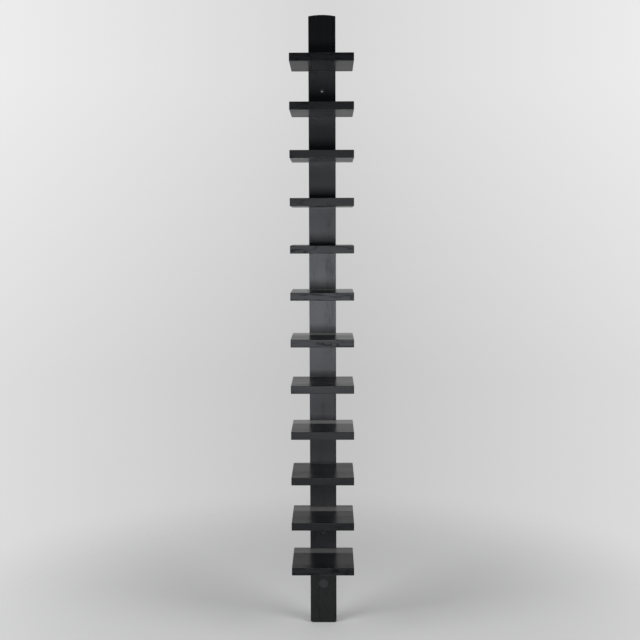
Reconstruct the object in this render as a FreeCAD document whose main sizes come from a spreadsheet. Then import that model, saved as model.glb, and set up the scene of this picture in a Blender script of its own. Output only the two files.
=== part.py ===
"""Spine bookshelf: an upright board with twelve shelves housed in its face and screwed from behind.

Millimetres, +Z up. The origin is the middle of the spine's foot, on the floor. The back face of the
spine goes against the wall, on the +Y side, and the shelves reach towards -Y. Each body is drawn with
its own y = 0 on that back face and then put in place.
"""

import FreeCAD, Part
import os
import Sketcher

# Driving dimensions, in millimetres unless the name ends in count, angle or share
SIZES = {
    # Shelf boards
    "shelf_count": 12,
    "shelf_width": 200,
    "shelf_depth": 200,
    "shelf_thickness": 25,
    "shelf_pitch": 147.5,
    "lowest_shelf_height": 235,
    # Spine board
    "spine_width": 88.5,
    "spine_thickness": 25,
    "spine_head_length": 150,
    "crown_rise": 4.2,
    "foot_corner_radius": 9,
    # Eased edges, and the groove that holds each shelf
    "arris_radius": 1.2,
    "housing_depth": 10,
    "housing_play": 0.2,
    # Empty holes for the two screws into the wall
    "wall_hole_diameter": 5,
    "wall_sink_diameter": 13,
    "wall_hole_bay_share": 0.475,
    # Wood screws that hold the shelves, two to a shelf
    "screw_length": 60,
    "screw_head_diameter": 9.6,
    "screw_rim_thickness": 0.4,
    "screw_shank_diameter": 3.7,
    "screw_core_diameter": 3.2,
    "screw_thread_diameter": 5,
    "screw_thread_length": 33,
    "screw_tip_length": 5,
    "screw_spread_share": 0.55,
    "ridge_count": 11,
    "ridge_width_share": 0.5,
    "ridge_root_share": 0.7,
    "recess_reach": 2.3,
    "recess_arm_width": 1.1,
    "recess_depth": 1.7,
    "sink_angle": 90,
    # Room round each screw
    "head_setback": 0.5,
    "seat_gap": 0.05,
    "screw_play": 0.25,
    "pilot_play": 0.05,
    "pilot_overrun": 2,
    # Bare disc let into the spine near its foot
    "disc_diameter": 30,
    "disc_thickness": 1.5,
    "disc_proud": 0.4,
    "disc_edge_radius": 0.3,
    "disc_play": 0.1,
    "disc_height_share": 0.585,
    # How far a cut runs past the board that it crosses
    "cut_overrun": 5,
}

# Lengths worked out from the sheet, as expressions
WALL = "sizes.spine_thickness / 2"
WEB = "(sizes.spine_thickness - sizes.housing_depth)"
SHELF_FRONT = f"({WEB} + sizes.shelf_depth)"
BAY = "(sizes.shelf_pitch - sizes.shelf_thickness)"
TOP_SHELF = "(sizes.lowest_shelf_height + (sizes.shelf_count - 1) * sizes.shelf_pitch)"
SHOULDER = f"({TOP_SHELF} + sizes.shelf_thickness + sizes.spine_head_length)"
CROWN_RADIUS = "((sizes.spine_width / 2)^2 + sizes.crown_rise^2) / (2 * sizes.crown_rise)"
SINK_SLOPE = "tan(sizes.sink_angle / 2)"
SCREW_OFFSET = "(sizes.spine_width * sizes.screw_spread_share / 2)"
RIDGE_PITCH = "(sizes.screw_thread_length / sizes.ridge_count)"
DISC_RECESS = "(sizes.disc_thickness - sizes.disc_proud)"


# Sketcher gives numbers to the points of a curve, and to the axes where a coordinate is zero, in these orders
CURVE_POINTS = ("none", "start", "end", "centre")
ZERO_LINES = ("DistanceY", "DistanceX")


def curve_point(name):
    """Sketcher's number for a point of a curve."""
    return CURVE_POINTS.index(name)


def zero_line(kind):
    """Sketcher's number for the axis of a sketch along which this coordinate is zero."""
    return -1 - ZERO_LINES.index(kind)


def make_sheet(doc):
    """The spreadsheet of driving dimensions, one aliased cell for each."""
    sheet = doc.addObject("Spreadsheet::Sheet", "sizes")
    for row, (alias, size) in enumerate(SIZES.items(), start=1):
        sheet.set(f"A{row}", alias)
        sheet.set(f"B{row}", str(size))
        sheet.setAlias(f"B{row}", alias)
    doc.recompute()
    return sheet


def origin_feature(body, role):
    """The plane or axis of a body's own origin that has this role."""
    return next(feature for feature in body.Origin.OriginFeatures if feature.Role == role)


def add_sketch(body, name, role, offset=None):
    """A sketch on an origin plane, moved along that plane's normal by an expression."""
    sketch = body.newObject("Sketcher::SketchObject", name)
    sketch.AttachmentSupport = (origin_feature(body, role), [""])
    sketch.MapMode = "FlatFace"
    if offset:
        sketch.setExpression("AttachmentOffset.Base.z", offset)
    return sketch


def drive(sketch, kind, *where, size):
    """A dimension in a sketch that takes its value from the sheet."""
    value = sketch.evalExpression(size)
    index = sketch.addConstraint(Sketcher.Constraint(kind, *where, value))
    sketch.setExpression(f"Constraints[{index}]", size)


def hold(sketch, point, place):
    """Ties a point to its two coordinates, which are expressions."""
    origin = (zero_line("DistanceY"), curve_point("start"))
    for kind, size in zip(("DistanceX", "DistanceY"), place):
        if size == "0":
            sketch.addConstraint(Sketcher.Constraint("PointOnObject", *point, zero_line(kind)))
        else:
            drive(sketch, kind, *origin, *point, size=size)


def spot(sketch, place):
    """Where a pair of expressions lies in a sketch at the sheet's present sizes."""
    across, up = (float(sketch.evalExpression(size)) for size in place)
    return FreeCAD.Vector(across, up, 0)


def chain(sketch, curves):
    """Joins each curve's end to the next one's start, all the way round."""
    end, start = curve_point("end"), curve_point("start")
    for curve, after in zip(curves, curves[1:] + curves[:1]):
        sketch.addConstraint(Sketcher.Constraint("Coincident", curve, end, after, start))


def draw_outline(sketch, corners):
    """A closed outline of straight lines through corners given as pairs of expressions."""
    spots = [spot(sketch, corner) for corner in corners]
    pairs = zip(spots, spots[1:] + spots[:1])
    lines = [sketch.addGeometry(Part.LineSegment(near, far)) for near, far in pairs]
    chain(sketch, lines)
    for line, corner in zip(lines, corners):
        hold(sketch, (line, curve_point("start")), corner)


def draw_circle(sketch, place, diameter):
    """A circle with its centre and diameter given as expressions."""
    radius = sketch.evalExpression(diameter) / 2
    circle = sketch.addGeometry(Part.Circle(spot(sketch, place), FreeCAD.Vector(0, 0, 1), radius))
    hold(sketch, (circle, curve_point("centre")), place)
    drive(sketch, "Diameter", circle, size=diameter)


def extrude(body, kind, name, sketch, length, along_normal=True):
    """A Pad or Pocket of a sketch. A pad goes along the sketch's normal, and a pocket against it."""
    feature = body.newObject(f"PartDesign::{kind}", name)
    feature.Profile = sketch
    feature.Reversed = along_normal == (kind == "Pocket")
    feature.setExpression("Length", length)
    return feature


def sink_holes(body, name, sketch, diameter, mouth, along_normal):
    """Countersunk holes right through the body, at the circles of a sketch."""
    body.Document.recompute()
    hole = body.newObject("PartDesign::Hole", name)
    hole.Profile = sketch
    hole.DepthType = "ThroughAll"
    hole.Reversed = along_normal
    hole.HoleCutType = "Countersink"
    hole.HoleCutCustomValues = True
    hole.setExpression("Diameter", diameter)
    hole.setExpression("HoleCutDiameter", mouth)
    hole.setExpression("HoleCutCountersinkAngle", "sizes.sink_angle")
    return hole


def repeat(body, name, originals, axis, spacing, count):
    """Copies of features at even spacing along an axis of the body."""
    pattern = body.newObject("PartDesign::LinearPattern", name)
    pattern.Originals = originals
    pattern.Direction = (origin_feature(body, axis), [""])
    pattern.Mode = "Spacing"
    pattern.setExpression("Offset", spacing)
    pattern.setExpression("Occurrences", count)
    body.Tip = pattern
    return pattern


def put_at(item, **axes):
    """Puts a body or a link where expressions say, one for each axis that is named."""
    for axis, size in axes.items():
        item.setExpression(f"Placement.Base.{axis}", size)


def revolve(body, name, sketch):
    """A full turn of a sketch about its own horizontal axis."""
    feature = body.newObject("PartDesign::Revolution", name)
    feature.Profile = sketch
    feature.ReferenceAxis = (sketch, ["H_Axis"])
    return feature


def round_edges(body, name, base, radius, wanted):
    """A fillet on those edges of a feature that the test called wanted picks."""
    body.Document.recompute()
    edges = enumerate(base.Shape.Edges, start=1)
    fillet = body.newObject("PartDesign::Fillet", name)
    fillet.Base = (base, [f"Edge{number}" for number, edge in edges if wanted(edge)])
    fillet.setExpression("Radius", radius)
    return fillet


def is_foot_corner(edge):
    """True for the two edges at the foot that run from back to front."""
    along = edge.tangentAt(edge.FirstParameter)
    return abs(along.y) > abs(along.x) + abs(along.z) and edge.CenterOfMass.z < edge.Length


def any_edge(edge):
    """True for every edge."""
    return True


def draw_spine_outline(sketch):
    """The front view of the spine: a rectangle whose top end is a shallow arc."""
    half = "sizes.spine_width / 2"
    foot_left = spot(sketch, (f"-{half}", "0"))
    foot_right = spot(sketch, (half, "0"))
    shoulder_right = spot(sketch, (half, SHOULDER))
    shoulder_left = spot(sketch, (f"-{half}", SHOULDER))
    crest = spot(sketch, ("0", f"{SHOULDER} + sizes.crown_rise"))
    foot = sketch.addGeometry(Part.LineSegment(foot_left, foot_right))
    right = sketch.addGeometry(Part.LineSegment(foot_right, shoulder_right))
    crown = sketch.addGeometry(Part.Arc(shoulder_right, crest, shoulder_left))
    left = sketch.addGeometry(Part.LineSegment(shoulder_left, foot_left))
    chain(sketch, [foot, right, crown, left])
    start, end = curve_point("start"), curve_point("end")
    hold(sketch, (foot, start), (f"-{half}", "0"))
    hold(sketch, (foot, end), (half, "0"))
    hold(sketch, (right, end), (half, SHOULDER))
    hold(sketch, (left, start), (f"-{half}", SHOULDER))
    drive(sketch, "Radius", crown, size=CROWN_RADIUS)


def make_spine(doc):
    """The upright board, with its housings, screw holes, wall holes and the seat of the disc."""
    body = doc.addObject("PartDesign::Body", "spine_board")
    outline = add_sketch(body, "spine_outline", "XZ_Plane")
    draw_spine_outline(outline)
    board = extrude(body, "Pad", "spine_pad", outline, "sizes.spine_thickness")
    foot = round_edges(body, "foot_corners", board, "sizes.foot_corner_radius", is_foot_corner)
    round_edges(body, "spine_arris", foot, "sizes.arris_radius", any_edge)

    # Wall holes, sunk from the front, in the bays next to the lowest and the highest shelf
    low_hole = f"sizes.lowest_shelf_height + sizes.shelf_thickness + {BAY} * sizes.wall_hole_bay_share"
    high_hole = f"{low_hole} + (sizes.shelf_count - 2) * sizes.shelf_pitch"
    places = add_sketch(body, "wall_hole_places", "XZ_Plane", "sizes.spine_thickness")
    draw_circle(places, ("0", low_hole), "sizes.wall_hole_diameter")
    draw_circle(places, ("0", high_hole), "sizes.wall_hole_diameter")
    sink_holes(body, "wall_holes", places, "sizes.wall_hole_diameter", "sizes.wall_sink_diameter", False)

    # Seat of the disc
    seat = add_sketch(body, "disc_seat_outline", "XZ_Plane", "sizes.spine_thickness")
    disc_height = "sizes.lowest_shelf_height * sizes.disc_height_share"
    draw_circle(seat, ("0", disc_height), "sizes.disc_diameter + 2 * sizes.disc_play")
    extrude(body, "Pocket", "disc_seat", seat, DISC_RECESS, along_normal=False)

    # One housing across the face and its two screw holes from the back, then the same for every shelf
    groove = add_sketch(body, "housing_outline", "YZ_Plane")
    face = "-(sizes.spine_thickness + sizes.cut_overrun)"
    under = "sizes.lowest_shelf_height"
    over = f"{under} + sizes.shelf_thickness + sizes.housing_play"
    draw_outline(groove, [(face, under), (f"-{WEB}", under), (f"-{WEB}", over), (face, over)])
    housing = extrude(body, "Pocket", "housing", groove, "sizes.spine_width + 2 * sizes.cut_overrun")
    housing.SideType = "Symmetric"

    drill = add_sketch(body, "screw_hole_places", "XZ_Plane")
    middle = "sizes.lowest_shelf_height + sizes.shelf_thickness / 2"
    clearance = "sizes.screw_thread_diameter + 2 * sizes.screw_play"
    sunk = f"(sizes.head_setback + sizes.screw_rim_thickness) * {SINK_SLOPE} + sizes.seat_gap"
    for side in ("-", ""):
        draw_circle(drill, (f"{side}{SCREW_OFFSET}", middle), clearance)
    mouth = f"sizes.screw_head_diameter + 2 * ({sunk})"
    holes = sink_holes(body, "screw_holes", drill, clearance, mouth, True)
    repeat(body, "joints", [housing, holes], "Z_Axis", "sizes.shelf_pitch", "sizes.shelf_count")
    put_at(body, y=WALL)
    return body


def make_shelf(doc, number):
    """One shelf board, with the pilot holes for its two screws in its rear edge."""
    body = doc.addObject("PartDesign::Body", f"shelf_{number:02d}")
    plan = add_sketch(body, f"{body.Name}_plan", "XY_Plane")
    half = "sizes.shelf_width / 2"
    front, rear = f"-{SHELF_FRONT}", f"-{WEB}"
    draw_outline(plan, [(f"-{half}", front), (half, front), (half, rear), (f"-{half}", rear)])
    board = extrude(body, "Pad", f"{body.Name}_pad", plan, "sizes.shelf_thickness")
    round_edges(body, f"{body.Name}_arris", board, "sizes.arris_radius", any_edge)

    drill = add_sketch(body, f"{body.Name}_pilots", "XZ_Plane", WEB)
    for side in ("-", ""):
        place = (f"{side}{SCREW_OFFSET}", "sizes.shelf_thickness / 2")
        draw_circle(drill, place, "sizes.screw_thread_diameter + 2 * sizes.pilot_play")
    depth = f"sizes.head_setback + sizes.screw_length - {WEB} + sizes.pilot_overrun"
    extrude(body, "Pocket", f"{body.Name}_pilot_holes", drill, depth)
    put_at(body, y=WALL, z=f"sizes.lowest_shelf_height + {number - 1} * sizes.shelf_pitch")
    return body


def make_screw(doc):
    """The pattern for every shelf screw: its head's top at the origin, its point towards -Y."""
    body = doc.addObject("PartDesign::Body", "wood_screw")
    profile = add_sketch(body, "screw_profile", "YZ_Plane")
    head = "sizes.screw_head_diameter / 2"
    shank = "sizes.screw_shank_diameter / 2"
    core = "sizes.screw_core_diameter / 2"
    neck = f"-(sizes.screw_rim_thickness + ({head} - {shank}) / {SINK_SLOPE})"
    tip_start = "-(sizes.screw_length - sizes.screw_tip_length)"
    thread_start = f"{tip_start} + sizes.screw_thread_length"
    draw_outline(profile, [
        ("0", "0"),
        ("0", head),
        ("-sizes.screw_rim_thickness", head),
        (neck, shank),
        (thread_start, shank),
        (thread_start, core),
        (tip_start, core),
        ("-sizes.screw_length", "0"),
    ])
    revolve(body, "screw_turned", profile)

    # The thread is drawn as even ridges, each a ring with a sharp crest
    ridge = add_sketch(body, "ridge_profile", "YZ_Plane")
    crest = f"{tip_start} + {RIDGE_PITCH} / 2"
    reach = f"{RIDGE_PITCH} * sizes.ridge_width_share / 2"
    root = f"{core} * sizes.ridge_root_share"
    draw_outline(ridge, [
        (f"{crest} - {reach}", root),
        (f"{crest} + {reach}", root),
        (crest, "sizes.screw_thread_diameter / 2"),
    ])
    ring = revolve(body, "ridge", ridge)
    repeat(body, "thread", [ring], "Y_Axis", RIDGE_PITCH, "sizes.ridge_count")

    # Cross recess for the driver
    cross = add_sketch(body, "recess_outline", "XZ_Plane")
    arm, end = "sizes.recess_arm_width / 2", "sizes.recess_reach"
    quarter = [(arm, end), (arm, arm), (end, arm)]
    corners = quarter + [(x, f"-{y}") for x, y in reversed(quarter)]
    corners += [(f"-{x}", f"-{y}") for x, y in quarter]
    corners += [(f"-{x}", y) for x, y in reversed(quarter)]
    draw_outline(cross, corners)
    extrude(body, "Pocket", "drive_recess", cross, "sizes.recess_depth")
    return body


def make_screw_pair(doc, number, screw):
    """The two screws of one shelf, as placed copies of the pattern screw."""
    name = f"shelf_{number:02d}_screws"
    middle = f"sizes.lowest_shelf_height + {number - 1} * sizes.shelf_pitch + sizes.shelf_thickness / 2"
    links = []
    for side, sign in (("left", "-"), ("right", "")):
        link = doc.addObject("App::Link", f"{name}_{side}")
        link.LinkedObject = screw
        put_at(link, x=f"{sign}{SCREW_OFFSET}", y=f"{WALL} - sizes.head_setback", z=middle)
        links.append(link)
    pair = doc.addObject("Part::Compound", name)
    pair.Links = links
    return pair


def make_disc(doc):
    """The bare round disc in its seat, a little proud of the spine's face."""
    body = doc.addObject("PartDesign::Body", "blank_disc")
    outline = add_sketch(body, "disc_outline", "XZ_Plane")
    draw_circle(outline, ("0", "0"), "sizes.disc_diameter")
    blank = extrude(body, "Pad", "disc_pad", outline, "sizes.disc_thickness")
    round_edges(body, "disc_edge", blank, "sizes.disc_edge_radius", is_disc_front)
    seat = f"{WALL} - sizes.spine_thickness + {DISC_RECESS}"
    put_at(body, y=seat, z="sizes.lowest_shelf_height * sizes.disc_height_share")
    return body


def is_disc_front(edge):
    """True for the round edge on the front of the disc, which lies off the sketch's plane."""
    return edge.BoundBox.YMax < 0


def check(doc, parts):
    """Stops if any object failed, any cut removed nothing, or any sub-part's shape is bad."""
    for item in doc.Objects:
        if {"Invalid", "Error"} & set(item.State):
            raise RuntimeError(f"{item.Label} failed: {item.State}")
        if item.TypeId in ("PartDesign::Pocket", "PartDesign::Hole"):
            if item.Shape.Volume >= item.BaseFeature.Shape.Volume:
                raise RuntimeError(f"{item.Label} cuts nothing")
    for part in parts:
        if part.Shape.isNull() or not part.Shape.isValid():
            raise RuntimeError(f"{part.Label} has a bad shape")


def main():
    """Builds the document and writes one STEP file for each sub-part."""
    doc = FreeCAD.newDocument("spine_bookshelf")
    sheet = make_sheet(doc)
    numbers = range(1, int(sheet.shelf_count) + 1)
    screw = make_screw(doc)
    parts = [make_spine(doc), make_disc(doc)]
    parts += [make_shelf(doc, number) for number in numbers]
    parts += [make_screw_pair(doc, number, screw) for number in numbers]
    doc.recompute()
    check(doc, parts)
    os.makedirs("parts", exist_ok=True)
    for part in parts:
        part.Shape.exportStep(os.path.join("parts", f"{part.Label}.step"))
        box = part.Shape.BoundBox
        size = f"{box.XLength:.1f} x {box.YLength:.1f} x {box.ZLength:.1f} mm"
        print(f"{part.Label}: {len(part.Shape.Solids)} solid, {size}, {part.Shape.Volume:.0f} mm3")


main()
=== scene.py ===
"""Spine bookshelf in satin black lacquer: the looks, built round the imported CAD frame.

Metres, +Z up, with the shelves towards -Y. The spine and the screws are the CAD nodes in new finishes.
The shelves and the disc are drawn again as numpy surfaces, in the places and sizes of their nodes.
"""

import logging
import math
from dataclasses import dataclass
from enum import Enum
from typing import Any

import bmesh
import bpy
import numpy as np
from mathutils import Matrix, Vector


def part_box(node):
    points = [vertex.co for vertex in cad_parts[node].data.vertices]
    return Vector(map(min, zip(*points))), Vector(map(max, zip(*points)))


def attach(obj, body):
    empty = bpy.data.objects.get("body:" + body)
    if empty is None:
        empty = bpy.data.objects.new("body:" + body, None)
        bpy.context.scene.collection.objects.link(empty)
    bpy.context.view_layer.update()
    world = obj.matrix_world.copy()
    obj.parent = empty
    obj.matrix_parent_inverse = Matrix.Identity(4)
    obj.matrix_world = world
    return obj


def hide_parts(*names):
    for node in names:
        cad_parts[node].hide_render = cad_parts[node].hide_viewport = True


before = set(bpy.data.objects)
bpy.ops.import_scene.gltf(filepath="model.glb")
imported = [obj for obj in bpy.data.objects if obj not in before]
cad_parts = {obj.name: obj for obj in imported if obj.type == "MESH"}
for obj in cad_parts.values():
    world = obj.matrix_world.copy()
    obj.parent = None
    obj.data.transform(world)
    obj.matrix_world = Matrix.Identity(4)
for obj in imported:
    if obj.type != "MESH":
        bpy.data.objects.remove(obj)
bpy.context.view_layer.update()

LOG = logging.getLogger("spine_bookshelf")
MM = 0.001
SHELF_COUNT = 12
# Blender's ring pattern repeats every pi / 10 of its own units
RING_PERIOD = math.pi / 10
# Blender's noise wavers about this middle and seldom passes the two bounds
NOISE_MIDDLE = 0.5
NOISE_LOW = 0.3
NOISE_HIGH = 0.7
# In metres: points closer than the first are one, and edges shorter than the second are dropped
MERGE_WITHIN = 1e-7
DROP_WITHIN = 1e-8
# A face is level where the largest part of its normal is no less than this
LEVEL_NORMAL = 0.9995


def linear(hex_colour: str) -> tuple[float, float, float, float]:
    """Turns an sRGB hex colour to linear light.

    Args:
        hex_colour: A colour such as "#1a1b1c".

    Returns:
        Red, green, blue and an alpha of 1.
    """
    coded = np.array([int(hex_colour[at:at + 2], 16) for at in (1, 3, 5)]) / 255
    light = np.where(coded <= 0.04045, coded / 12.92, ((coded + 0.055) / 1.055) ** 2.4)
    return (*light.tolist(), 1.0)


def per_metre(size_mm: float) -> float:
    """How often a pattern of this size in millimetres fits in a metre."""
    return 1 / (size_mm * MM)


def shelf_node(number: int) -> str:
    """The name of a shelf's CAD node."""
    return f"shelf_{number:02d}"


def add_node(
    tree: bpy.types.NodeTree, kind: str, inputs: dict[str | int, Any] | None = None, **settings: Any
) -> bpy.types.Node:
    """Adds one node, sets its options and fills its inputs.

    Args:
        tree: The tree that the node goes in.
        kind: Blender's name for the node.
        inputs: For each input, a socket to link it to or a value to set.
        settings: The node's own options.

    Returns:
        The new node.
    """
    node = tree.nodes.new(kind)
    for option, value in settings.items():
        setattr(node, option, value)
    for key, value in (inputs or {}).items():
        if isinstance(value, bpy.types.NodeSocket):
            tree.links.new(value, node.inputs[key])
        else:
            node.inputs[key].default_value = value
    return node


class Grain(Enum):
    """A kind of board: which way its broad faces look, and which way its grain runs."""

    SHELF = ("Z", "X")
    SPINE = ("Y", "Z")

    @property
    def face(self) -> str:
        """The axis that the broad faces look along."""
        return self.value[0]

    @property
    def run(self) -> str:
        """The axis that the grain runs along."""
        return self.value[1]


@dataclass(frozen=True)
class WallHoles:
    """The two countersunk holes on the middle line of the spine, in its lowest and highest bays."""

    bay_share: float = 0.475
    countersink: float = 13 * MM

    def height(self, under: int) -> float:
        """The height of the hole over a shelf: bay_share of the way up to the next shelf."""
        floor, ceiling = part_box(shelf_node(under))[1].z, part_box(shelf_node(under + 1))[0].z
        return floor + self.bay_share * (ceiling - floor)


@dataclass(frozen=True)
class BlackLacquer:
    """Black lacquer, sprayed thin on planed beech and left satin.

    The eye gets a near-black skin that mirrors softly. Growth rings and fibres stand through it as faint
    streaks, the sawn edges are duller than the faces, and corners are rubbed a little grey.
    """

    lacquer: str = "#050506"
    streak: str = "#0d0e0f"
    rubbed: str = "#1f2021"
    # The grey of a paler strip across the back of some shelf tops
    pale_strip: str = "#888786"
    # Painted light: a lighter grey on the countersinks for the light their cones catch
    painted_countersink_light: str = "#383839"
    ior: float = 1.42
    full_gloss: float = 0.5
    face_roughness: float = 0.25
    edge_roughness: float = 0.36
    cut_roughness: float = 0.6
    roughness_drift: float = 0.08
    # Real rings are about 2 mm apart, and fibres and pores far finer, so all are drawn coarser to show
    ring_mm: float = 5.0
    ring_wander_mm: float = 45.0
    ring_wander: float = 7.0
    ring_stretch: float = 12.5
    fibre_mm: float = 1.8
    fibre_length_mm: float = 60.0
    fibre_share: float = 0.45
    figure_depth_mm: float = 0.03
    ripple_mm: float = 130.0
    ripple_depth_mm: float = 0.6
    rim_mm: float = 4.0
    rub_mm: float = 9.0
    rub_from: float = 0.45
    rub_to: float = 0.75
    rub_most: float = 0.6
    strip_fade_mm: float = 10.0
    strip_drift: float = 0.3
    pore_mm: float = 14.0
    pore_length_mm: float = 90.0
    pore_width: float = 0.028
    pore_from: float = 0.46
    pore_to: float = 0.58
    pore_gloss: float = 0.2
    # Where the middle of the spine lay in the log, from the log's axis
    spine_in_log: tuple[float, float, float] = (0, 90 * MM, 20 * MM)

    def material(
        self, name: str, grain: Grain, half: Vector | None = None, holes: WallHoles | None = None
    ) -> bpy.types.Material:
        """Makes the finish for one kind of board.

        Args:
            name: The material's name.
            grain: The kind of board.
            half: Half the board's size, for a board whose mesh carries no attributes.
            holes: The board's countersunk holes, if it has them.

        Returns:
            The material.
        """
        material = bpy.data.materials.new(name)
        material.use_nodes = True
        tree = material.node_tree
        shader = tree.nodes["Principled BSDF"]
        shader.inputs["IOR"].default_value = self.ior
        coords = add_node(tree, "ShaderNodeTexCoord")
        place = coords.outputs["Object"]
        normal = add_node(tree, "ShaderNodeSeparateXYZ", {0: coords.outputs["Normal"]})
        wood, rim, band = self.board_inputs(tree, place, grain, half)
        stretch = (1 / self.ring_stretch, 1, 1)
        drawn_out = add_node(tree, "ShaderNodeVectorMath", {0: wood, 1: stretch}, operation="MULTIPLY")
        tone = add_node(tree, "ShaderNodeTexNoise", {
            "Vector": drawn_out.outputs[0], "Scale": per_metre(self.ring_wander_mm), "Detail": 1.0,
        }).outputs["Fac"]
        figure = self.figure(tree, wood, drawn_out.outputs[0])
        skin = self.skin(tree, place, figure, rim)
        if band is not None:
            skin = self.add_pale_strip(tree, skin, band, normal.outputs["Z"], tone)

        # The sawn edges are duller than the faces
        facing = add_node(tree, "ShaderNodeMath", {0: normal.outputs[grain.face]}, operation="ABSOLUTE")
        rough = add_node(tree, "ShaderNodeMapRange", {
            "Value": facing.outputs[0], "To Min": self.edge_roughness, "To Max": self.face_roughness,
        })
        rough = add_node(tree, "ShaderNodeMath", {
            0: tone, 1: self.roughness_drift, 2: rough.outputs[0],
        }, operation="MULTIPLY_ADD").outputs[0]

        # Painted light: the countersinks are painted a lighter grey for the light their cones catch, and
        # are made duller
        if holes is not None:
            painted_countersink_light = self.countersink_share(tree, place, holes)
            skin = add_node(tree, "ShaderNodeMix", {
                0: painted_countersink_light, 6: skin, 7: linear(self.painted_countersink_light),
            }, data_type="RGBA").outputs[2]
            rough = add_node(tree, "ShaderNodeMix", {
                0: painted_countersink_light, 2: rough, 3: self.cut_roughness,
            }, data_type="FLOAT").outputs[0]

        # Long ripples in the planed face, then the grain that stands through the lacquer
        ripple = add_node(tree, "ShaderNodeTexNoise", {
            "Vector": place, "Scale": per_metre(self.ripple_mm), "Detail": 1.0,
        })
        ripple = add_node(tree, "ShaderNodeBump", {
            "Height": ripple.outputs["Fac"], "Distance": self.ripple_depth_mm * MM, "Strength": 1.0,
        })
        relief = add_node(tree, "ShaderNodeBump", {
            "Height": figure,
            "Distance": self.figure_depth_mm * MM,
            "Strength": 1.0,
            "Normal": ripple.outputs[0],
        })
        gloss = self.gloss(tree, wood, tone, normal.outputs[grain.run])
        tree.links.new(skin, shader.inputs["Base Color"])
        tree.links.new(gloss, shader.inputs["Specular IOR Level"])
        tree.links.new(rough, shader.inputs["Roughness"])
        tree.links.new(relief.outputs[0], shader.inputs["Normal"])
        return material

    def countersink_share(
        self, tree: bpy.types.NodeTree, place: bpy.types.NodeSocket, holes: WallHoles
    ) -> bpy.types.NodeSocket:
        """Finds the countersinks: 1 within their radius of either hole's axis, and else 0.

        The axes run along Y. Heights from the middle of the pair are made positive, so that one distance
        serves both holes.

        Args:
            tree: The material's tree.
            place: Object coordinates.
            holes: The board's countersunk holes.

        Returns:
            The share's socket.
        """
        lower, upper = holes.height(1), holes.height(SHELF_COUNT - 1)
        pair = add_node(tree, "ShaderNodeVectorMath", {
            0: place, 1: (0, 0, (upper + lower) / 2),
        }, operation="SUBTRACT")
        pair = add_node(tree, "ShaderNodeVectorMath", {0: pair.outputs[0]}, operation="ABSOLUTE")
        pair = add_node(tree, "ShaderNodeVectorMath", {
            0: pair.outputs[0], 1: (0, 0, (upper - lower) / 2),
        }, operation="SUBTRACT")
        pair = add_node(tree, "ShaderNodeVectorMath", {
            0: pair.outputs[0], 1: (1, 0, 1),
        }, operation="MULTIPLY")
        away = add_node(tree, "ShaderNodeVectorMath", {0: pair.outputs[0]}, operation="LENGTH")
        inside = add_node(tree, "ShaderNodeMath", {
            0: away.outputs["Value"], 1: holes.countersink / 2,
        }, operation="LESS_THAN")
        return inside.outputs[0]

    def figure(
        self, tree: bpy.types.NodeTree, wood: bpy.types.NodeSocket, drawn_out: bpy.types.NodeSocket
    ) -> bpy.types.NodeSocket:
        """Growth rings with fibres between them, from 0 to 1, drawn out along the wood's own X.

        Args:
            tree: The material's tree.
            wood: The place in the log.
            drawn_out: The same, drawn out along the grain.

        Returns:
            The figure's socket.
        """
        ring_scale = RING_PERIOD / (self.ring_mm * MM)
        rings = add_node(tree, "ShaderNodeTexWave", {
            "Vector": drawn_out,
            "Scale": ring_scale,
            "Distortion": self.ring_wander,
            "Detail": 2.0,
            "Detail Scale": per_metre(self.ring_wander_mm) / ring_scale,
        }, wave_type="RINGS", rings_direction="X", wave_profile="SAW")
        stretch = (self.fibre_mm / self.fibre_length_mm, 1, 1)
        strands = add_node(tree, "ShaderNodeVectorMath", {0: wood, 1: stretch}, operation="MULTIPLY")
        fibres = add_node(tree, "ShaderNodeTexNoise", {
            "Vector": strands.outputs[0], "Scale": per_metre(self.fibre_mm), "Detail": 2.0,
        })
        figure = add_node(tree, "ShaderNodeMix", {
            0: self.fibre_share, 2: rings.outputs["Fac"], 3: fibres.outputs["Fac"],
        }, data_type="FLOAT")
        return figure.outputs[0]

    def skin(
        self, tree: bpy.types.NodeTree, place: bpy.types.NodeSocket,
        figure: bpy.types.NodeSocket, rim: bpy.types.NodeSocket,
    ) -> bpy.types.NodeSocket:
        """The lacquer's colour, streaked by the figure and rubbed in places along the corners.

        Args:
            tree: The material's tree.
            place: Object coordinates.
            figure: The wood's figure, from 0 to 1.
            rim: Nearness to a corner, from 0 to 1.

        Returns:
            The colour's socket.
        """
        patches = add_node(tree, "ShaderNodeTexNoise", {
            "Vector": place, "Scale": per_metre(self.rub_mm), "Detail": 3.0,
        })
        rubbed = add_node(tree, "ShaderNodeMapRange", {
            "Value": patches.outputs["Fac"],
            "From Min": self.rub_from,
            "From Max": self.rub_to,
            "To Max": self.rub_most,
        })
        rubbed = add_node(tree, "ShaderNodeMath", {0: rubbed.outputs[0], 1: rim}, operation="MULTIPLY")
        streaked = add_node(tree, "ShaderNodeMix", {
            0: figure, 6: linear(self.lacquer), 7: linear(self.streak),
        }, data_type="RGBA")
        skin = add_node(tree, "ShaderNodeMix", {
            0: rubbed.outputs[0], 6: streaked.outputs[2], 7: linear(self.rubbed),
        }, data_type="RGBA")
        return skin.outputs[2]

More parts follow.
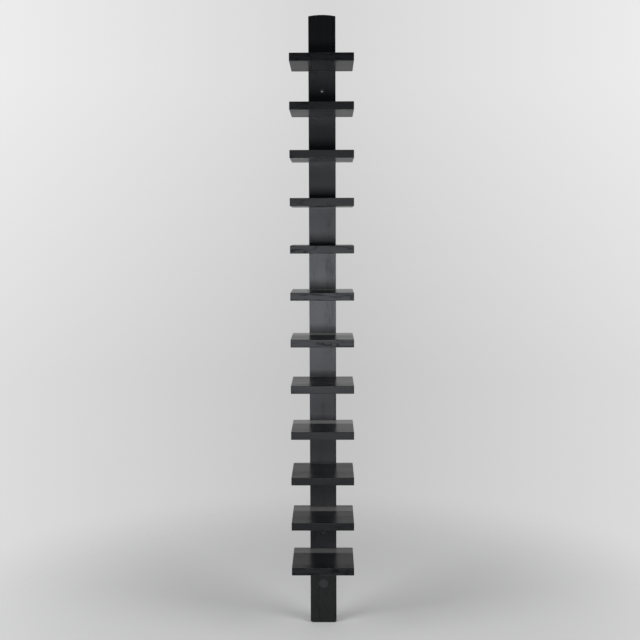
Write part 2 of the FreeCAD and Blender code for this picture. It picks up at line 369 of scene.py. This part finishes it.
    def add_pale_strip(
        self, tree: bpy.types.NodeTree, skin: bpy.types.NodeSocket, band: bpy.types.NodeSocket,
        upwards: bpy.types.NodeSocket, tone: bpy.types.NodeSocket,
    ) -> bpy.types.NodeSocket:
        """Greys the colour in a paler strip, on the top of a shelf alone and a little uneven.

        Args:
            tree: The material's tree.
            skin: The colour without the strip.
            band: The strength of the strip.
            upwards: How far the surface looks up.
            tone: Slow noise along the grain.

        Returns:
            The colour's socket.
        """
        uneven = add_node(tree, "ShaderNodeMapRange", {
            "Value": tone,
            "From Min": NOISE_LOW,
            "From Max": NOISE_HIGH,
            "To Min": 1 - self.strip_drift,
            "To Max": 1 + self.strip_drift,
        })
        pale_strip = add_node(tree, "ShaderNodeMath", {0: band, 1: uneven.outputs[0]}, operation="MULTIPLY")
        pale_strip = add_node(tree, "ShaderNodeMath", {
            0: pale_strip.outputs[0], 1: upwards,
        }, operation="MULTIPLY", use_clamp=True)
        skin = add_node(tree, "ShaderNodeMix", {
            0: pale_strip.outputs[0], 6: skin, 7: linear(self.pale_strip),
        }, data_type="RGBA")
        return skin.outputs[2]

    def gloss(
        self, tree: bpy.types.NodeTree, wood: bpy.types.NodeSocket,
        tone: bpy.types.NodeSocket, along: bpy.types.NodeSocket,
    ) -> bpy.types.NodeSocket:
        """How strongly the lacquer mirrors. In places open grain breaks the gloss along wavy lines.

        Args:
            tree: The material's tree.
            wood: The place in the log.
            tone: Slow noise along the grain, which says where the grain is open.
            along: How far the surface looks along the grain. End grain is filled.

        Returns:
            The gloss's socket.
        """
        stretch = (self.pore_mm / self.pore_length_mm, 1, 1)
        lines = add_node(tree, "ShaderNodeVectorMath", {0: wood, 1: stretch}, operation="MULTIPLY")
        lines = add_node(tree, "ShaderNodeTexNoise", {
            "Vector": lines.outputs[0], "Scale": per_metre(self.pore_mm), "Detail": 2.0,
        })
        lines = add_node(tree, "ShaderNodeMath", {
            0: lines.outputs["Fac"], 1: NOISE_MIDDLE, 2: self.pore_width,
        }, operation="COMPARE")
        sparse = add_node(tree, "ShaderNodeMapRange", {
            "Value": tone, "From Min": self.pore_from, "From Max": self.pore_to,
        })
        filled = add_node(tree, "ShaderNodeMath", {0: along}, operation="ABSOLUTE")
        filled = add_node(tree, "ShaderNodeMath", {0: 1.0, 1: filled.outputs[0]}, operation="SUBTRACT")
        pores = lines
        for share in (sparse, filled):
            pores = add_node(tree, "ShaderNodeMath", {
                0: pores.outputs[0], 1: share.outputs[0],
            }, operation="MULTIPLY")
        gloss = add_node(tree, "ShaderNodeMapRange", {
            "Value": pores.outputs[0], "To Min": self.full_gloss, "To Max": self.pore_gloss,
        })
        return gloss.outputs[0]

    def board_inputs(
        self, tree: bpy.types.NodeTree, place: bpy.types.NodeSocket, grain: Grain, half: Vector | None
    ) -> tuple[bpy.types.NodeSocket, bpy.types.NodeSocket, bpy.types.NodeSocket | None]:
        """Finds what the pattern hangs on: attributes of a shelf's mesh, or the spine's own coordinates.

        Args:
            tree: The material's tree.
            place: Object coordinates.
            grain: The kind of board.
            half: Half the size of a board that carries no attributes.

        Returns:
            The place in the log, nearness to an edge from 0 to 1, and the pale strip if there can be one.
        """
        if grain is Grain.SHELF:
            wood = add_node(tree, "ShaderNodeAttribute", attribute_name="wood")
            rim = add_node(tree, "ShaderNodeAttribute", attribute_name="rim")
            band = add_node(tree, "ShaderNodeAttribute", attribute_name="band")
            band = add_node(tree, "ShaderNodeSeparateXYZ", {0: band.outputs["Vector"]})
            # Inside both ends of the band, whose ends are a little soft
            inside = add_node(tree, "ShaderNodeMath", {
                0: band.outputs["X"], 1: band.outputs["Y"],
            }, operation="MINIMUM")
            inside = add_node(tree, "ShaderNodeMapRange", {
                "Value": inside.outputs[0], "From Max": self.strip_fade_mm * MM,
            })
            strip_share = add_node(tree, "ShaderNodeMath", {
                0: inside.outputs[0], 1: band.outputs["Z"],
            }, operation="MULTIPLY")
            return wood.outputs["Vector"], rim.outputs["Fac"], strip_share.outputs[0]
        turned = add_node(tree, "ShaderNodeMapping", {
            "Vector": place, "Rotation": (0, math.pi / 2, 0), "Location": self.spine_in_log,
        })
        # On the surface one of the two distances is nothing, so the larger is the distance to the edge
        sides = add_node(tree, "ShaderNodeVectorMath", {0: place}, operation="ABSOLUTE")
        sides = add_node(tree, "ShaderNodeVectorMath", {
            0: half, 1: sides.outputs[0],
        }, operation="SUBTRACT")
        sides = add_node(tree, "ShaderNodeSeparateXYZ", {0: sides.outputs[0]})
        inside = add_node(tree, "ShaderNodeMath", {
            0: sides.outputs["X"], 1: sides.outputs["Y"],
        }, operation="MAXIMUM")
        rim = add_node(tree, "ShaderNodeMapRange", {
            "Value": inside.outputs[0], "From Max": self.rim_mm * MM, "To Min": 1.0, "To Max": 0.0,
        })
        return turned.outputs[0], rim.outputs[0], None


@dataclass(frozen=True)
class ZincSteel:
    """Bright zinc plating on a steel wood screw.

    The eye gets a pale grey metal with a cloudy, faintly blue and yellow skin.
    """

    cool: str = "#c3c7cb"
    warm: str = "#b5b1a4"
    roughness: float = 0.3
    roughness_drift: float = 0.15
    cloud_mm: float = 3.0
    cloud_depth_mm: float = 0.02

    def material(self, name: str) -> bpy.types.Material:
        """Makes the finish of the screws.

        Args:
            name: The material's name.

        Returns:
            The material.
        """
        material = bpy.data.materials.new(name)
        material.use_nodes = True
        tree = material.node_tree
        shader = tree.nodes["Principled BSDF"]
        shader.inputs["Metallic"].default_value = 1.0
        coords = add_node(tree, "ShaderNodeTexCoord")
        clouds = add_node(tree, "ShaderNodeTexNoise", {
            "Vector": coords.outputs["Object"], "Scale": per_metre(self.cloud_mm), "Detail": 3.0,
        })
        skin = add_node(tree, "ShaderNodeMix", {
            0: clouds.outputs["Fac"], 6: linear(self.cool), 7: linear(self.warm),
        }, data_type="RGBA")
        rough = add_node(tree, "ShaderNodeMath", {
            0: clouds.outputs["Fac"], 1: self.roughness_drift, 2: self.roughness,
        }, operation="MULTIPLY_ADD")
        relief = add_node(tree, "ShaderNodeBump", {
            "Height": clouds.outputs["Fac"], "Distance": self.cloud_depth_mm * MM,
        })
        tree.links.new(skin.outputs[2], shader.inputs["Base Color"])
        tree.links.new(rough.outputs[0], shader.inputs["Roughness"])
        tree.links.new(relief.outputs[0], shader.inputs["Normal"])
        return material


@dataclass(frozen=True)
class SpunEnamel:
    """Dark grey enamel on a spun metal disc.

    The eye gets a satin grey a little lighter than the lacquer, with faint rings from the spinning.
    """

    enamel: str = "#151617"
    ridge: str = "#1f2021"
    roughness: float = 0.33
    roughness_drift: float = 0.12
    # Real spinning marks are about 0.2 mm apart, so they are drawn coarser to show
    ring_mm: float = 1.5
    ring_wander: float = 0.6
    ring_depth_mm: float = 0.02
    cloud_mm: float = 6.0
    cloud_share: float = 0.5

    def material(self, name: str, centre: Vector) -> bpy.types.Material:
        """Makes the finish of the disc.

        Args:
            name: The material's name.
            centre: The middle of the disc.

        Returns:
            The material.
        """
        material = bpy.data.materials.new(name)
        material.use_nodes = True
        tree = material.node_tree
        shader = tree.nodes["Principled BSDF"]
        coords = add_node(tree, "ShaderNodeTexCoord")
        middle = add_node(tree, "ShaderNodeMapping", {
            "Vector": coords.outputs["Object"], "Location": -centre,
        })
        rings = add_node(tree, "ShaderNodeTexWave", {
            "Vector": middle.outputs[0],
            "Scale": RING_PERIOD / (self.ring_mm * MM),
            "Distortion": self.ring_wander,
        }, wave_type="RINGS", rings_direction="Y")
        clouds = add_node(tree, "ShaderNodeTexNoise", {
            "Vector": coords.outputs["Object"], "Scale": per_metre(self.cloud_mm), "Detail": 3.0,
        })
        blend = add_node(tree, "ShaderNodeMix", {
            0: self.cloud_share, 2: rings.outputs["Fac"], 3: clouds.outputs["Fac"],
        }, data_type="FLOAT")
        skin = add_node(tree, "ShaderNodeMix", {
            0: blend.outputs[0], 6: linear(self.enamel), 7: linear(self.ridge),
        }, data_type="RGBA")
        rough = add_node(tree, "ShaderNodeMath", {
            0: blend.outputs[0], 1: self.roughness_drift, 2: self.roughness,
        }, operation="MULTIPLY_ADD")
        relief = add_node(tree, "ShaderNodeBump", {
            "Height": rings.outputs["Fac"], "Distance": self.ring_depth_mm * MM,
        })
        tree.links.new(skin.outputs[2], shader.inputs["Base Color"])
        tree.links.new(rough.outputs[0], shader.inputs["Roughness"])
        tree.links.new(relief.outputs[0], shader.inputs["Normal"])
        return material


def spread(length: float, margin: float, steps: int) -> np.ndarray:
    """Shares of a length: a line at the margin from each end, and even steps between them."""
    return np.linspace(margin, length - margin, steps + 1) / length


def grid_mesh(name: str, points: np.ndarray) -> bpy.types.Object:
    """Makes an object from a grid of points, with doubles merged and faces turned outwards.

    Args:
        name: The object's name.
        points: Rows of points, of shape (rows, points in a row, 3). The end of a row joins its start.

    Returns:
        The object, at the origin. Its curved faces are smooth and its level ones flat.
    """
    rows, across = points.shape[:2]
    index = np.arange(rows * across).reshape(rows, across)
    after = np.roll(index, -1, axis=1)
    quads = np.stack([index[:-1], after[:-1], after[1:], index[1:]], axis=-1).reshape(-1, 4)
    mesh = bpy.data.meshes.new(name)
    mesh.from_pydata(points.reshape(-1, 3).tolist(), [], quads.tolist())
    work = bmesh.new()
    work.from_mesh(mesh)
    bmesh.ops.remove_doubles(work, verts=work.verts, dist=MERGE_WITHIN)
    bmesh.ops.dissolve_degenerate(work, edges=work.edges, dist=DROP_WITHIN)
    bmesh.ops.recalc_face_normals(work, faces=work.faces)
    work.to_mesh(mesh)
    work.free()
    normals = np.empty(len(mesh.polygons) * 3, np.float32)
    mesh.polygons.foreach_get("normal", normals)
    curved = np.abs(normals.reshape(-1, 3)).max(axis=1) < LEVEL_NORMAL
    mesh.polygons.foreach_set("use_smooth", curved)
    piece = bpy.data.objects.new(name, mesh)
    bpy.context.scene.collection.objects.link(piece)
    return piece


def keep_on_mesh(mesh: bpy.types.Mesh, name: str, values: np.ndarray) -> None:
    """Keeps a number or a vector for each vertex as an attribute of the mesh.

    Args:
        mesh: The mesh.
        name: The attribute's name.
        values: One number or three numbers for each vertex.
    """
    kind, field = ("FLOAT", "value") if values.ndim == 1 else ("FLOAT_VECTOR", "vector")
    attribute = mesh.attributes.new(name, kind, "POINT")
    attribute.data.foreach_set(field, np.ascontiguousarray(values, np.float32).ravel())


def wear(piece: bpy.types.Object, material: bpy.types.Material) -> None:
    """Puts one material in every slot of a piece."""
    piece.data.materials.clear()
    piece.data.materials.append(material)


@dataclass(frozen=True)
class PaleRearStrip:
    """A paler, greyer strip across the back of a shelf's top, from the rear edge."""

    start_mm: float = 0.0
    end_mm: float = 0.0
    strength: float = 0.0


# Paler strips, by the number of the shelf. The other shelves have none
PALE_REAR_STRIPS = {
    1: PaleRearStrip(0, 60, 0.37),
    2: PaleRearStrip(8, 73, 0.46),
    3: PaleRearStrip(-4, 20, 0.33),
    4: PaleRearStrip(0, 70, 0.88),
    6: PaleRearStrip(0, 62, 0.95),
    7: PaleRearStrip(4, 70, 0.60),
}


@dataclass
class Shelf:
    """One shelf board with eased edges, cut from its own part of the log."""

    number: int
    band: PaleRearStrip
    arris: float = 1.2 * MM
    margin: float = 4.0 * MM
    arc_steps: int = 4
    face_steps: int = 8
    edge_steps: int = 3
    cap_steps: int = 3
    # Where the middle of the board may have lain in the log, and how far its grain may run askew
    log_bounds: tuple[tuple[float, float], ...] = ((-0.3, 0.3), (0.02, 0.12), (-0.09, -0.03))
    most_askew: float = 0.04

    @property
    def node(self) -> str:
        """The CAD node that this board stands for."""
        return shelf_node(self.number)

    def loops(self, half: Vector, insets: np.ndarray) -> np.ndarray:
        """Draws the board's section once for each inset.

        A section is a rectangle with four corner arcs. A corner's centre stays in place while the inset is
        less than the arris, which shrinks by it, and then it moves in with the inset as a sharp corner.

        Args:
            half: Half the board's size.
            insets: How far each section is drawn in from the full one.

        Returns:
            Rows of y and z, of shape (sections, points, 2).
        """
        centre = np.maximum(self.arris, insets)[:, None]
        bend = np.maximum(self.arris - insets, 0.0)[:, None]
        turn = np.linspace(0, math.pi / 2, self.arc_steps + 1)
        signs = np.array([(1, 1), (-1, 1), (-1, -1), (1, -1)])
        arcs = [
            np.stack([
                y * (half.y - centre) + bend * np.cos(turn + quarter * math.pi / 2),
                z * (half.z - centre) + bend * np.sin(turn + quarter * math.pi / 2),
            ], axis=-1)
            for quarter, (y, z) in enumerate(signs)
        ]
        face = spread(2 * (half.y - self.arris), self.margin, self.face_steps)
        edge = spread(2 * (half.z - self.arris), self.margin, self.edge_steps)
        parts = []
        for arc, after, shares in zip(arcs, arcs[1:] + arcs[:1], (face, edge, face, edge)):
            start, end = arc[:, -1:], after[:, :1]
            parts += [arc, start + (end - start) * shares[None, :, None]]
        return np.concatenate(parts, axis=1)

    def surface(self, low: Vector, high: Vector) -> np.ndarray:
        """Carries the section along X, from the middle of one end, over its arris, to the other end.

        At an angle a round the end's arris, the station lies arris * sin a out from the straight part and
        its section is drawn in by arris * (1 - cos a). On the flat end the inset alone grows, until the
        section is a line.

        Args:
            low: The board's lowest corner.
            high: Its highest corner.

        Returns:
            A grid of points of shape (stations, points, 3).
        """
        half, middle = (high - low) / 2, (high + low) / 2
        straight = half.x - self.arris
        turn = np.linspace(math.pi / 2, 0, self.arc_steps + 1)
        cap = np.linspace(half.z, self.arris, self.cap_steps + 1)[:-1]
        end_x = np.concatenate([np.full(cap.size, -half.x), -straight - self.arris * np.sin(turn)])
        end_inset = np.concatenate([cap, self.arris * (1 - np.cos(turn))])
        run = (2 * spread(2 * straight, self.margin, self.face_steps) - 1) * straight
        along = np.concatenate([end_x, run, -end_x[::-1]])
        insets = np.concatenate([end_inset, np.zeros(run.size), end_inset[::-1]])
        loops = self.loops(half, insets)
        xs = np.broadcast_to(along[:, None, None], (*loops.shape[:2], 1))
        return np.concatenate([xs, loops], axis=-1) + np.array(middle)

    def mark(self, mesh: bpy.types.Mesh, low: Vector, high: Vector) -> None:
        """Keeps on the mesh where each point lay in the log, how near an edge it is, and the pale strip.

        The log's axis runs along X, a little askew. The distance to the nearest edge is the second smallest
        of the distances to the three pairs of faces. The band is kept as how far a point lies inside its
        rear end, how far inside its front end, and its strength.

        Args:
            mesh: The board's mesh.
            low: The board's lowest corner.
            high: Its highest corner.
        """
        points = np.empty(len(mesh.vertices) * 3, np.float32)
        mesh.vertices.foreach_get("co", points)
        points = points.reshape(-1, 3)
        draw = np.random.default_rng(self.number)
        in_log = np.array([draw.uniform(least, most) for least, most in self.log_bounds])
        askew = np.array(Matrix.Rotation(draw.uniform(-self.most_askew, self.most_askew), 3, "Y"))
        wood = (points - np.array((low + high) / 2)) @ askew.T + in_log
        to_faces = np.minimum(points - np.array(low), np.array(high) - points)
        to_edge = np.sort(to_faces, axis=1)[:, 1]
        keep_on_mesh(mesh, "wood", wood)
        keep_on_mesh(mesh, "rim", np.clip(1 - to_edge / self.margin, 0, 1))
        from_rear = high.y - points[:, 1]
        keep_on_mesh(mesh, "band", np.stack([
            from_rear - self.band.start_mm * MM,
            self.band.end_mm * MM - from_rear,
            np.full(from_rear.size, self.band.strength),
        ], axis=-1))

    def build(self, lacquer: bpy.types.Material) -> bpy.types.Object:
        """Makes the board and puts it in the place of its CAD node.

        Args:
            lacquer: The shelves' finish.

        Returns:
            The board.
        """
        low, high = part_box(self.node)
        board = grid_mesh(f"{self.node}_board", self.surface(low, high))
        self.mark(board.data, low, high)
        wear(board, lacquer)
        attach(board, "root")
        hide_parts(self.node)
        return board


@dataclass
class BlankDisc:
    """The bare round disc near the foot, with a turned rim and a shallow dish."""

    node: str = "blank_disc"
    edge: float = 0.3 * MM
    rim: float = 1.6 * MM
    dish: float = 0.25 * MM
    dish_steps: int = 14
    edge_steps: int = 4
    spokes: int = 96

    def surface(self, low: Vector, high: Vector) -> np.ndarray:
        """Spins a profile about Y: flat back, straight side, eased edge, level rim, then the dish.

        The dish sinks from the rim as dish * (1 - cos(pi * t)) / 2, with t from 0 at the rim to 1 in the
        middle, so it leaves both level.

        Args:
            low: The disc's lowest corner.
            high: Its highest corner.

        Returns:
            A grid of points of shape (profile points, spokes, 3).
        """
        middle, radius = (low + high) / 2, (high.x - low.x) / 2
        front, back = low.y, high.y
        turn = np.linspace(0, math.pi / 2, self.edge_steps + 1)
        edge_r = radius - self.edge + self.edge * np.cos(turn)
        edge_y = front + self.edge - self.edge * np.sin(turn)
        share = np.linspace(0, 1, self.dish_steps + 1)
        dish_r = (radius - self.rim) * (1 - share)
        dish_y = front + self.dish * (1 - np.cos(math.pi * share)) / 2
        reach = np.concatenate([[0, radius], edge_r, dish_r])
        depth = np.concatenate([[back, back], edge_y, dish_y])
        angle = np.linspace(0, 2 * math.pi, self.spokes, endpoint=False)
        return np.stack([
            middle.x + reach[:, None] * np.cos(angle),
            np.broadcast_to(depth[:, None], (reach.size, angle.size)),
            middle.z + reach[:, None] * np.sin(angle),
        ], axis=-1)

    def build(self) -> bpy.types.Object:
        """Makes the disc in the place of its CAD node.

        Returns:
            The disc.
        """
        low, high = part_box(self.node)
        disc = grid_mesh("blank_disc_spun", self.surface(low, high))
        wear(disc, SpunEnamel().material("spun_dark_enamel", (low + high) / 2))
        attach(disc, "root")
        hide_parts(self.node)
        return disc


@dataclass
class Spine:
    """The upright board, which stays the CAD node."""

    node: str = "spine_board"
    lacquer: BlackLacquer = BlackLacquer(face_roughness=0.295, pore_gloss=0.38)
    holes: WallHoles = WallHoles()

    def dress(self) -> bpy.types.Object:
        """Gives the CAD node its lacquer.

        Returns:
            The board.
        """
        low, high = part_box(self.node)
        half = (high - low) / 2
        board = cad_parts[self.node]
        wear(board, self.lacquer.material("spine_black_lacquer", Grain.SPINE, half, self.holes))
        return board


@dataclass
class Screws:
    """The screws behind the shelves, which stay the CAD nodes."""

    count: int = SHELF_COUNT

    def dress(self) -> list[bpy.types.Object]:
        """Gives every pair of screws the same plating.

        Returns:
            The pairs, lowest first.
        """
        plating = ZincSteel().material("bright_zinc_plating")
        pairs = [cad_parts[f"{shelf_node(number)}_screws"] for number in range(1, self.count + 1)]
        for pair in pairs:
            wear(pair, plating)
        return pairs


@dataclass(frozen=True)
class Softbox:
    """A rectangular lamp behind white cloth."""

    name: str
    place: tuple[float, float, float]
    aim: tuple[float, float, float]
    size: tuple[float, float]
    watts: float
    colour: str = "#ffffff"
    mirrored: bool = False

    def hang(self) -> None:
        """Hangs the lamp in its place, turned to its aim and unseen by the camera."""
        lamp = bpy.data.lights.new(self.name, "AREA")
        lamp.shape = "RECTANGLE"
        lamp.size, lamp.size_y = self.size
        lamp.energy = self.watts
        lamp.color = linear(self.colour)[:3]
        box = bpy.data.objects.new(self.name, lamp)
        box.location = self.place
        box.rotation_euler = (Vector(self.aim) - Vector(self.place)).to_track_quat("-Z", "Y").to_euler()
        box.visible_camera = False
        box.visible_glossy = self.mirrored
        bpy.context.scene.collection.objects.link(box)


@dataclass
class Studio:
    """Pale floor and background, soft lamps and the camera of the photograph."""

    paper: str = "#d9d9d9"
    background: str = "#cccccc"
    floor_reach: float = 6.0
    floor_rings: int = 23
    floor_spokes: int = 96
    fade_from: float = 0.4
    fade_to: float = 1.7
    fill: float = 0.5
    # The background's level for the camera, low down and high up, and the slope at which it gets there
    seen_low: float = 0.90
    seen_high: float = 1.12
    seen_slope: float = 0.15
    # What is added to that towards the sides, and how far aside all of it is
    side_gain: float = 0.29
    side_reach: float = 0.33
    # Its level for gloss, in front and behind, and the turn at which it gets there
    gloss_front: float = 0.07
    gloss_behind: float = 1.55
    gloss_turn: float = 0.35
    # What is left of that straight up or down
    gloss_upright: float = 0.055
    # What is left of it below the horizon, and the two slopes between which it falls to that
    gloss_below: float = 0.55
    below_from: float = -0.06
    below_to: float = -0.20
    softboxes: tuple[Softbox, ...] = (
        Softbox("left_softbox", (-2.8, -2.0, 2.1), (0, -0.1, 1.0), (2.0, 2.2), 78),
        Softbox("right_softbox", (2.8, -2.0, 2.1), (0, -0.1, 1.0), (2.0, 2.2), 71),
        Softbox("front_softbox", (-0.05, -4.4, 0.47), (0, 0, 1.1), (1.2, 0.40), 25, "#f4f7ff", True),
        Softbox("near_softbox", (-0.05, -2.6, 1.05), (0, 0, 1.1), (0.7, 0.40), 11.2, "#f4f7ff", True),
    )
    camera_place: tuple[float, float, float] = (0.02442, -3.1875, 1.34)
    tilt: float = 0.08698
    pan: float = -0.01052
    roll: float = -0.00337
    lens_mm: float = 53.77
    sensor_mm: float = 36.0
    shift_y: float = -0.01

    def build(self) -> None:
        """Builds the whole stage."""
        self.lay_floor()
        self.light_world()
        for softbox in self.softboxes:
            softbox.hang()
        self.set_camera()
        bpy.context.scene.view_settings.view_transform = "Standard"

    def lay_floor(self) -> None:
        """Lays a round floor, a grid of rings and spokes whose radius grows as the square of the ring."""
        reach = self.floor_reach * np.linspace(0, 1, self.floor_rings + 1) ** 2
        angle = np.linspace(0, 2 * math.pi, self.floor_spokes, endpoint=False)
        floor = grid_mesh("studio_floor", np.stack([
            reach[:, None] * np.cos(angle),
            reach[:, None] * np.sin(angle),
            np.zeros((reach.size, angle.size)),
        ], axis=-1))
        wear(floor, self.paper_material())

    def paper_material(self) -> bpy.types.Material:
        """Matt paper that keeps the object's shadow and fades into the background further out.

        Returns:
            The material.
        """
        material = bpy.data.materials.new("matt_studio_paper")
        material.use_nodes = True
        tree = material.node_tree
        tree.nodes.remove(tree.nodes["Principled BSDF"])
        coords = add_node(tree, "ShaderNodeTexCoord")
        matt = add_node(tree, "ShaderNodeBsdfDiffuse", {"Color": linear(self.paper)})
        clear = add_node(tree, "ShaderNodeBsdfTransparent")
        away = add_node(tree, "ShaderNodeVectorMath", {0: coords.outputs["Object"]}, operation="LENGTH")
        fade = add_node(tree, "ShaderNodeMapRange", {
            "Value": away.outputs["Value"], "From Min": self.fade_from, "From Max": self.fade_to,
        }, interpolation_type="SMOOTHSTEP")
        path = add_node(tree, "ShaderNodeLightPath")
        seen = add_node(tree, "ShaderNodeMath", {
            0: path.outputs["Is Camera Ray"], 1: self.sent_on(tree, path),
        }, operation="MAXIMUM")
        share = add_node(tree, "ShaderNodeMath", {
            0: fade.outputs[0], 1: seen.outputs[0],
        }, operation="MULTIPLY")
        blend = add_node(tree, "ShaderNodeMixShader", {
            0: share.outputs[0], 1: matt.outputs[0], 2: clear.outputs[0],
        })
        tree.links.new(blend.outputs[0], tree.nodes["Material Output"].inputs["Surface"])
        return material

    def sent_on(self, tree: bpy.types.NodeTree, path: bpy.types.Node) -> bpy.types.NodeSocket:
        """Tells the rays that a gloss or a glass sends on: 1 for them, and else 0.

        Args:
            tree: The tree of the floor or the world.
            path: Its light path.

        Returns:
            The socket.
        """
        rays = add_node(tree, "ShaderNodeMath", {
            0: path.outputs["Is Glossy Ray"], 1: path.outputs["Is Transmission Ray"],
        }, operation="MAXIMUM")
        return rays.outputs[0]

    def light_world(self) -> None:
        """Pale all round for the camera. For gloss it is pale behind and dim in front, as in a studio."""
        world = bpy.data.worlds.new("studio")
        bpy.context.scene.world = world
        world.use_nodes = True
        tree = world.node_tree
        path = add_node(tree, "ShaderNodeLightPath")
        coords = add_node(tree, "ShaderNodeTexCoord")
        heading = add_node(tree, "ShaderNodeSeparateXYZ", {0: coords.outputs["Generated"]})
        aside = add_node(tree, "ShaderNodeMath", {0: heading.outputs["X"]}, operation="ABSOLUTE")
        steep = add_node(tree, "ShaderNodeMath", {0: heading.outputs["Z"]}, operation="ABSOLUTE")

        # For the camera it brightens to both sides and upwards: painted light and shade on the background,
        # darker behind the object
        raised = add_node(tree, "ShaderNodeMapRange", {
            "Value": heading.outputs["Z"],
            "From Min": -self.seen_slope,
            "From Max": self.seen_slope,
            "To Min": self.seen_low,
            "To Max": self.seen_high,
        })
        aside = add_node(tree, "ShaderNodeMapRange", {
            "Value": aside.outputs[0], "From Max": self.side_reach, "To Max": self.side_gain,
        })
        seen = add_node(tree, "ShaderNodeMath", {
            0: aside.outputs[0], 1: raised.outputs[0],
        }, operation="ADD")

        # For gloss it is brightest at the horizon, and the floor's side is darker
        behind = add_node(tree, "ShaderNodeMapRange", {
            "Value": heading.outputs["Y"],
            "From Min": -self.gloss_turn,
            "From Max": self.gloss_turn,
            "To Min": self.gloss_front,
            "To Max": self.gloss_behind,
        }, interpolation_type="SMOOTHSTEP")
        below = add_node(tree, "ShaderNodeMapRange", {
            "Value": heading.outputs["Z"],
            "From Min": self.below_to,
            "From Max": self.below_from,
            "To Min": self.gloss_below,
        })
        dimmed = add_node(tree, "ShaderNodeMath", {
            0: self.gloss_upright, 1: steep.outputs[0],
        }, operation="POWER")
        gloss = behind
        for share in (below, dimmed):
            gloss = add_node(tree, "ShaderNodeMath", {
                0: gloss.outputs[0], 1: share.outputs[0],
            }, operation="MULTIPLY")

        level = add_node(tree, "ShaderNodeMix", {
            0: self.sent_on(tree, path), 2: self.fill, 3: gloss.outputs[0],
        }, data_type="FLOAT")
        level = add_node(tree, "ShaderNodeMix", {
            0: path.outputs["Is Camera Ray"], 2: level.outputs[0], 3: seen.outputs[0],
        }, data_type="FLOAT")
        background = tree.nodes["Background"]
        background.inputs["Color"].default_value = linear(self.background)
        tree.links.new(level.outputs[0], background.inputs["Strength"])

    def set_camera(self) -> None:
        """Sets the camera where the photograph's was: along +Y, then turned by pan, tilt and roll."""
        lens = bpy.data.cameras.new("photograph")
        lens.sensor_width = self.sensor_mm
        lens.lens = self.lens_mm
        lens.shift_y = self.shift_y
        camera = bpy.data.objects.new("photograph", lens)
        aim = Matrix.Rotation(-self.pan, 4, "Z") @ Matrix.Rotation(math.pi / 2 - self.tilt, 4, "X")
        turned = aim @ Matrix.Rotation(self.roll, 4, "Z")
        camera.matrix_world = Matrix.Translation(self.camera_place) @ turned
        bpy.context.scene.collection.objects.link(camera)
        bpy.context.scene.camera = camera


def main() -> None:
    """Builds the pieces in order and reports each, then sets the stage."""
    logging.basicConfig(level=logging.INFO, format="%(name)s: %(message)s")
    pieces = [Spine().dress()]
    lacquer = BlackLacquer().material("shelf_black_lacquer", Grain.SHELF)
    for number in range(1, SHELF_COUNT + 1):
        pieces.append(Shelf(number, PALE_REAR_STRIPS.get(number, PaleRearStrip())).build(lacquer))
    pieces += Screws().dress()
    pieces.append(BlankDisc().build())
    for piece in pieces:
        LOG.info("%s: %d faces", piece.name, len(piece.data.polygons))
    Studio().build()


if __name__ == "__main__":
    main()
